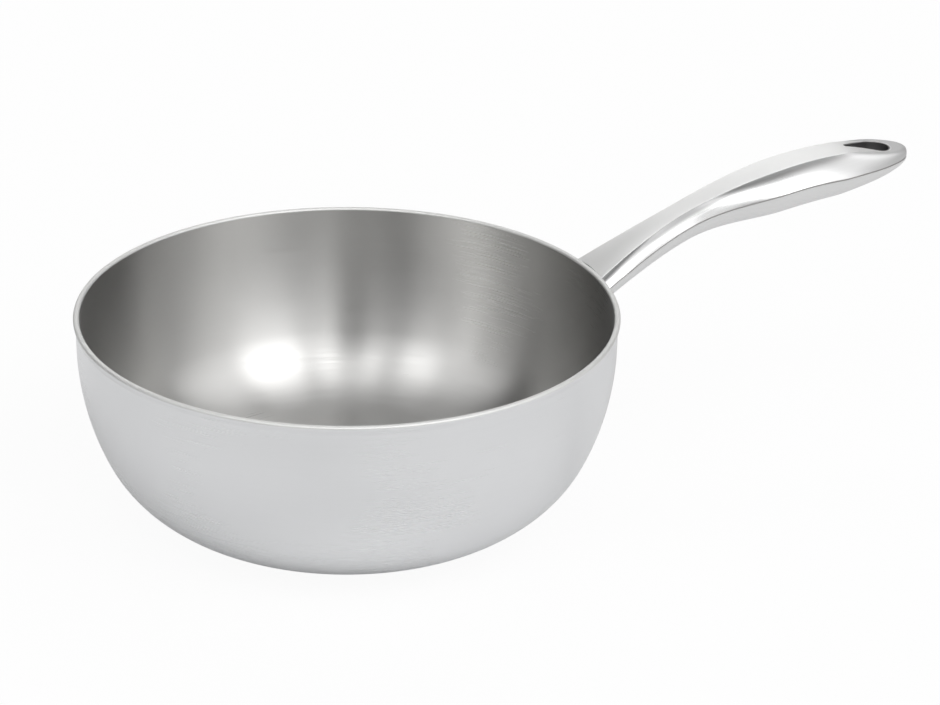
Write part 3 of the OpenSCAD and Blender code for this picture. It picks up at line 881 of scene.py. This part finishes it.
class SAUCIER_OT_aluminium_core(bpy.types.Operator):
    """Spins the sealed core and gives it its mill finish"""
    bl_idname = "saucier.aluminium_core"
    bl_label = "Aluminium core"

    def execute(self, context):
        bowl, _, finish, _ = settings()
        outline = BowlPlies(bowl).core()
        mill = steel("mill_aluminium", finish.core, finish.core_rough, ring_lines, along=40.0, across=900.0)
        piece = spin("aluminium_core_spun", outline, bowl.turns, [mill], [0] * len(outline))
        dress(piece, "aluminium_core")
        return {"FINISHED"}


class SAUCIER_OT_outer_shell(bpy.types.Operator):
    """Spins the outer ply with its rounded rim, satin outside and ground smooth along the rim"""
    bl_idname = "saucier.outer_shell"
    bl_label = "Outer shell"

    def execute(self, context):
        bowl, _, finish, _ = settings()
        outline, hidden, rim = BowlPlies(bowl).shell()
        satin = steel("ring_satin_steel", finish.outside, finish.outside_rough, ring_lines, along=22.0,
                      across=2600.0, spread=finish.outside_spread, groove=0.045, mottle=0.02, uneven=0.03)
        ground = ground_steel("ground_rim", finish)
        marks = [0] * hidden + [1] * (rim - 1) + [0] * (len(outline) - hidden - rim + 1)
        piece = spin("outer_shell_spun", outline, bowl.turns, [satin, ground], marks)
        dress(piece, "outer_shell")
        return {"FINISHED"}


class SAUCIER_OT_handle_top(bpy.types.Operator):
    """Presses the handle's upper shell: a satin strip between two polished flanks"""
    bl_idname = "saucier.handle_top"
    bl_label = "Handle top shell"

    def execute(self, context):
        bowl, handle, finish, _ = settings()
        form = HandleForm(handle, BowlSection(bowl))
        outer = top_rows(form, 0.0, handle.crease_r)
        inner = top_rows(form, handle.sheet, handle.crease_r)
        satin = steel("satin_strip", finish.strip, finish.strip_rough, long_lines, along=30.0, across=3000.0,
                      spread=finish.strip_spread)
        dome = (finish.dome_rough, handle.reach - form.DULLING[0], handle.reach - form.DULLING[1])
        # The flanks' steel paints a band of shade under the strip, from the step layer
        polished = steel("polished_flank_painted_shade", finish.handle, finish.flank_rough, long_lines, along=40.0,
                         across=1200.0, groove=0.05, later=dome, step=(finish.painted_shade_tint, finish.step_rough))
        # The strip's satin ends half way round the crease
        half = STRIP_STEPS + CREASE_STEPS // 2
        faces = outer.shape[1] - 1
        marks = [0 if abs(i + 0.5 - faces / 2.0) < half else 1 for i in range(faces)]
        piece = shell_from_rows("handle_top_pressed", outer, inner, [satin, polished], marks, flip=False,
                                painted_shade_and_dullness=flank_painted_shade(handle.reach))
        cut_hole(piece, form)
        dress(piece, "handle_top_shell")
        return {"FINISHED"}


class SAUCIER_OT_handle_belly(bpy.types.Operator):
    """Presses the handle's lower shell"""
    bl_idname = "saucier.handle_belly"
    bl_label = "Handle bottom shell"

    def execute(self, context):
        bowl, handle, finish, _ = settings()
        form = HandleForm(handle, BowlSection(bowl))
        outer, inner = belly_rows(form, 0.0), belly_rows(form, handle.sheet)
        satin = steel("satin_belly", finish.belly, finish.belly_rough, long_lines, along=30.0, across=2600.0,
                      spread=finish.belly_spread)
        marks = [0] * (outer.shape[1] - 1)
        piece = shell_from_rows("handle_belly_pressed", outer, inner, [satin], marks, flip=True)
        cut_hole(piece, form)
        dress(piece, "handle_bottom_shell")
        return {"FINISHED"}


# The sleeve's ends are flat over this share of its wall, and then drop by this share of it
SLEEVE_FLAT = 0.7
SLEEVE_EASE = 0.3


class SAUCIER_OT_hang_hole_sleeve(bpy.types.Operator):
    """Lines the hanging hole with its teardrop sleeve"""
    bl_idname = "saucier.hang_hole_sleeve"
    bl_label = "Hanging hole sleeve"

    def execute(self, context):
        bowl, handle, finish, _ = settings()
        form = HandleForm(handle, BowlSection(bowl))
        outer = np.array(form.teardrop(handle.sleeve))
        inner = np.array(form.teardrop(0.0))
        ease = SLEEVE_EASE * handle.sleeve
        rounded = outer + (inner - outer) * SLEEVE_FLAT
        loops = []
        for outline, level, drop in ((outer, form.strip_top, 0.0), (rounded, form.strip_top, 0.0),
                                     (inner, form.strip_top, ease), (inner, form.belly_low, -ease),
                                     (rounded, form.belly_low, 0.0), (outer, form.belly_low, 0.0)):
            z = bowl.height + level(outline[:, 0] - bowl.rim_r, outline[:, 1]) - drop
            loops.append(np.column_stack([outline, z]))
        points = np.concatenate(loops)
        count, around = len(loops), len(outer)
        index = np.arange(count * around).reshape(count, around)
        faces, paths, _ = closed_grid(index, lambda k, i: (i / around, k / count))
        rough = steel("hole_steel", finish.hole, finish.hole_rough, long_lines, along=60.0, across=60.0)
        piece = make_piece("hang_hole_lining", points, faces, paths, [rough])
        keep_sharp(piece, over=35.0)
        dress(piece, "hang_hole_sleeve")
        return {"FINISHED"}


class SAUCIER_OT_foot(bpy.types.Operator):
    """Gives the hidden foot and its spot welds their mill finish"""
    bl_idname = "saucier.foot"
    bl_label = "Foot and spot welds"

    def execute(self, context):
        finish = settings()[2]
        for name, roughness in (("handle_foot", finish.foot_rough), ("foot_spot_welds", finish.spot_rough)):
            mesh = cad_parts[name].data
            path = mesh.uv_layers[0] if mesh.uv_layers else mesh.uv_layers.new(name="path")
            path.name = "path"
            mesh.materials.clear()
            mesh.materials.append(steel(name + "_steel", finish.weld, roughness, long_lines, along=50.0,
                                        across=400.0))
        return {"FINISHED"}


class SAUCIER_OT_welds(bpy.types.Operator):
    """Lays the dressed bead along the handle's seam and the fillet round its root"""
    bl_idname = "saucier.welds"
    bl_label = "Welds"

    def execute(self, context):
        bowl, handle, finish, _ = settings()
        form = HandleForm(handle, BowlSection(bowl))
        dressed = steel("dressed_weld", finish.weld, finish.weld_rough, long_lines, along=200.0,
                        across=300.0, mottle=0.08)
        loops = []
        for k in range(1 - len(STATIONS), len(STATIONS)):
            s, side = STATIONS[len(STATIONS) - 1 - abs(k)], np.sign(k)
            ring = [form.seam_at(s, side, up, inset) for up, inset in (
                (1, handle.seam_recess), (-1, handle.seam_recess), (-1, handle.sheet), (1, handle.sheet))]
            loops.append(form.seat(np.array(ring)))
        seam = tube("seam_bead", loops, [dressed])
        keep_sharp(seam, over=40.0)
        dress(seam, "seam_weld")
        fillet = tube("root_fillet", root_fillet(form), [dressed])
        keep_sharp(fillet, over=50.0)
        dress(fillet, "root_weld")
        return {"FINISHED"}


# Points of the fillet down each flank and round the belly, and how far its middle stands off the joint
FILLET_FLANK, FILLET_BELLY = 20, 61
FILLET_FULL = 0.30


def root_fillet(form):
    """Loops of a concave fillet down one flank of the root, round the belly and up the other flank"""
    h = form.h

    def outline(s):
        t = np.linspace(0.0, 1.0, FILLET_FLANK)[1:]
        flank = form.flank_at(s, 1.0, t, 0.0)
        other = form.flank_at(s, -1.0, t, 0.0)
        belly = form.belly_at(s, np.linspace(-1.0, 1.0, FILLET_BELLY), 0.0)
        return np.vstack([other, belly, flank[::-1]])

    inside, leg = outline(0.0), outline(h.weld_leg / h.reach)
    tangent = np.gradient(inside[:, 1:], axis=0)
    tangent /= np.linalg.norm(tangent, axis=1)[:, None]
    foot = inside + h.weld_leg * np.column_stack([np.zeros(len(inside)), tangent[:, 1], -tangent[:, 0]])
    a, b, c = form.seat(inside), form.seat(leg), form.seat(foot)
    middle = a + FILLET_FULL * (b - a) + FILLET_FULL * (c - a)
    return np.stack([a, b, middle, c], axis=1)


class SAUCIER_OT_stage(bpy.types.Operator):
    """Sets the floor, the room's soft light and the camera"""
    bl_idname = "saucier.stage"
    bl_label = "Stage"

    def execute(self, context):
        bowl, _, _, stage = settings()
        set_camera(bowl, stage)
        set_floor(stage)
        set_room(stage)
        bpy.context.scene.view_settings.view_transform = "Standard"
        return {"FINISHED"}


# Width of the picture's sensor in millimetres, and half the floor's width in metres
SENSOR_W = 36.0
FLOOR_HALF = 6.0
# Degrees over which the backdrop fades at its top and at its sides, each way
BACKDROP_FADES = (5.0, 12.0)
WHITE = (1.0, 1.0, 1.0, 1.0)


def camera_swing(stage):
    """Turns the camera's side of the studio round to where the handle points back into the picture"""
    return Matrix.Rotation(-math.radians(stage.handle_turn), 3, "Z")


def set_camera(bowl, stage):
    """Stands the camera where the photograph was taken from and aims it by yaw, pitch and roll"""
    rim_centre = Vector((0.0, 0.0, bowl.height))
    el = math.radians(stage.elevation)
    back = Vector((0.0, -math.cos(el), math.sin(el)))
    forward, right = -back, Vector((1.0, 0.0, 0.0))
    up = right.cross(forward)
    for axis, angle in ((up, -stage.yaw), (right, -stage.pitch), (forward, stage.roll)):
        turn = Matrix.Rotation(math.radians(angle), 3, axis)
        forward, right, up = turn @ forward, turn @ right, turn @ up
    swing = camera_swing(stage)
    basis = Matrix((swing @ right, swing @ up, swing @ -forward)).transposed()
    camera = bpy.data.cameras.new("camera")
    camera.lens = stage.focal
    camera.sensor_width = SENSOR_W
    camera.sensor_fit = "HORIZONTAL"
    camera.clip_start, camera.clip_end = 0.05, 20.0
    eye = add_object("camera", camera)
    eye.matrix_world = Matrix.Translation(rim_centre + swing @ (back * stage.distance)) @ basis.to_4x4()
    bpy.context.scene.camera = eye


def set_floor(stage):
    """A pale floor, nearly all glow to the camera and hardly any to metal, that keeps the pan's shadow"""
    material, recipe = material_recipe("pale_floor")
    path = recipe.add("LightPath")
    metal = recipe.math("MAXIMUM", path.outputs["Is Glossy Ray"], path.outputs["Is Transmission Ray"])
    seen = recipe.math("ADD", recipe.math("MULTIPLY", path.outputs["Is Camera Ray"], stage.floor_glow),
                       recipe.math("MULTIPLY", metal, stage.floor_shine))
    matt = recipe.add("BsdfDiffuse", Color=tuple(stage.floor) + (1.0,))
    glow = recipe.add("Emission", Color=WHITE, Strength=1.0)
    blend = recipe.add("MixShader", Fac=seen)
    recipe.feed(blend.inputs[1], matt.outputs["BSDF"])
    recipe.feed(blend.inputs[2], glow.outputs["Emission"])
    recipe.add("OutputMaterial", Surface=blend.outputs["Shader"])
    mesh = bpy.data.meshes.new("floor")
    corners = [(x * FLOOR_HALF, y * FLOOR_HALF, 0.0) for x, y in ((-1, -1), (1, -1), (1, 1), (-1, 1))]
    mesh.from_pydata(corners, [], [(0, 1, 2, 3)])
    mesh.materials.append(material)
    floor = add_object("floor", mesh)


class SoftBox:
    """One soft box of the studio, far off: degrees right of the camera, degrees up, and its edges' fades"""

    def __init__(self, sides, side_fades, heights, height_fades):
        self.sides, self.side_fades = sides, side_fades
        self.heights, self.height_fades = heights, height_fades

    def shape(self, recipe, across, up):
        parts = []
        for value, span, fades in ((across, self.sides, self.side_fades),
                                   (up, self.heights, self.height_fades)):
            near, far = 0.5 * fades[0], 0.5 * fades[1]
            parts.append(recipe.between(value, span[0] - near, span[0] + near, 0.0, 1.0))
            parts.append(recipe.between(value, span[1] - far, span[1] + far, 1.0, 0.0))
        product = parts[0]
        for part in parts[1:]:
            product = recipe.math("MULTIPLY", product, part)
        return product


SOFT_BOXES = {
    "key": SoftBox((6, 110), (6, 12), (26, 60), (12, 12)),
    "key_core": SoftBox((30, 65), (10, 12), (36, 58), (12, 12)),
    "fill": SoftBox((-100, -10), (12, 10), (28, 60), (12, 12)),
    "fill_core": SoftBox((-56, -34), (10, 8), (36, 52), (12, 12)),
    "bridge": SoftBox((-22, 22), (8, 8), (51, 69), (12, 12)),
    "low": SoftBox((3, 105), (12, 12), (7, 27), (12, 12)),
    "low_left": SoftBox((-66, -52), (10, 10), (18, 28), (10, 10)),
    "top": SoftBox((-84, 76), (30, 30), (56, 80), (14, 14)),
}
# Behind the pan, the same to the left as to the right
BACK_BOX = SoftBox((146, 200), (20, 20), (43, 56), (14, 14))


def set_room(stage):
    """The room: white to the camera, and else a dark studio with soft boxes. Metal also shows a backdrop."""
    world = bpy.data.worlds.new("studio")
    world.use_nodes = True
    bpy.context.scene.world = world
    recipe = Recipe(world.node_tree)
    swing = camera_swing(stage)
    way = recipe.add("TexCoord").outputs["Generated"]

    def along(axis):
        node = recipe.add("VectorMath", {"operation": "DOT_PRODUCT"})
        recipe.feed(node.inputs[0], way)
        node.inputs[1].default_value = swing @ Vector(axis)
        return node.outputs["Value"]

    degrees = math.degrees(1.0)
    bearing = recipe.math("ARCTAN2", along((1.0, 0.0, 0.0)), along((0.0, -1.0, 0.0)))
    across = recipe.math("MULTIPLY", bearing, degrees)
    round_back = recipe.math("ABSOLUTE", across)
    up = recipe.math("MULTIPLY", recipe.math("ARCSINE", along((0.0, 0.0, 1.0))), degrees)
    total = recipe.math("MULTIPLY", BACK_BOX.shape(recipe, round_back, up), stage.back)
    for name, box in SOFT_BOXES.items():
        light = recipe.math("MULTIPLY", box.shape(recipe, across, up), getattr(stage, name))
        total = recipe.math("ADD", total, light)
    path = recipe.add("LightPath")
    seen = path.outputs["Is Camera Ray"]
    metal = recipe.math("MAXIMUM", path.outputs["Is Glossy Ray"], path.outputs["Is Transmission Ray"])
    top, side = BACKDROP_FADES
    low = recipe.between(up, stage.backdrop_up - top, stage.backdrop_up + top, stage.backdrop, 0.0)
    behind = recipe.between(round_back, stage.backdrop_from - side, stage.backdrop_from + side, 0.0, 1.0)
    backdrop = recipe.math("MULTIPLY", low, behind)
    total = recipe.math("ADD", total, recipe.math("MULTIPLY", metal, backdrop))
    unseen = recipe.math("SUBTRACT", 1.0, seen)
    strength = recipe.math("ADD", recipe.math("MULTIPLY", total, unseen), seen)
    ground = recipe.add("Background", Color=WHITE, Strength=strength)
    recipe.add("OutputWorld", Surface=ground.outputs["Background"])


class SAUCIER_PT_panel(bpy.types.Panel):
    """Lists the pan's sizes, finishes and steps"""
    bl_idname = "SAUCIER_PT_panel"
    bl_label = "Saucier pan"
    bl_space_type = "VIEW_3D"
    bl_region_type = "UI"
    bl_category = "Saucier pan"

    def draw(self, context):
        for step in STEPS:
            self.layout.operator(step.bl_idname)
        for group in settings():
            box = self.layout.box()
            for name in group.__annotations__:
                box.prop(group, name)


STEPS = (SAUCIER_OT_stage, SAUCIER_OT_cooking_surface, SAUCIER_OT_aluminium_core, SAUCIER_OT_outer_shell,
         SAUCIER_OT_handle_top, SAUCIER_OT_handle_belly, SAUCIER_OT_hang_hole_sleeve, SAUCIER_OT_foot,
         SAUCIER_OT_welds)
GROUPS = {"saucier_bowl": SaucierBowlSizes, "saucier_handle": SaucierHandleSizes,
          "saucier_finish": SaucierFinish, "saucier_stage": SaucierStage}


def register():
    for group in GROUPS.values():
        bpy.utils.register_class(group)
    for step in STEPS + (SAUCIER_PT_panel,):
        bpy.utils.register_class(step)
    for name, group in GROUPS.items():
        setattr(bpy.types.Scene, name, PointerProperty(type=group))


def unregister():
    for name in GROUPS:
        delattr(bpy.types.Scene, name)
    for step in STEPS + (SAUCIER_PT_panel,):
        bpy.utils.unregister_class(step)
    for group in GROUPS.values():
        bpy.utils.unregister_class(group)


def main():
    register()
    for step in STEPS:
        group, name = step.bl_idname.split(".")
        getattr(getattr(bpy.ops, group), name)()


if __name__ == "__main__":
    main()
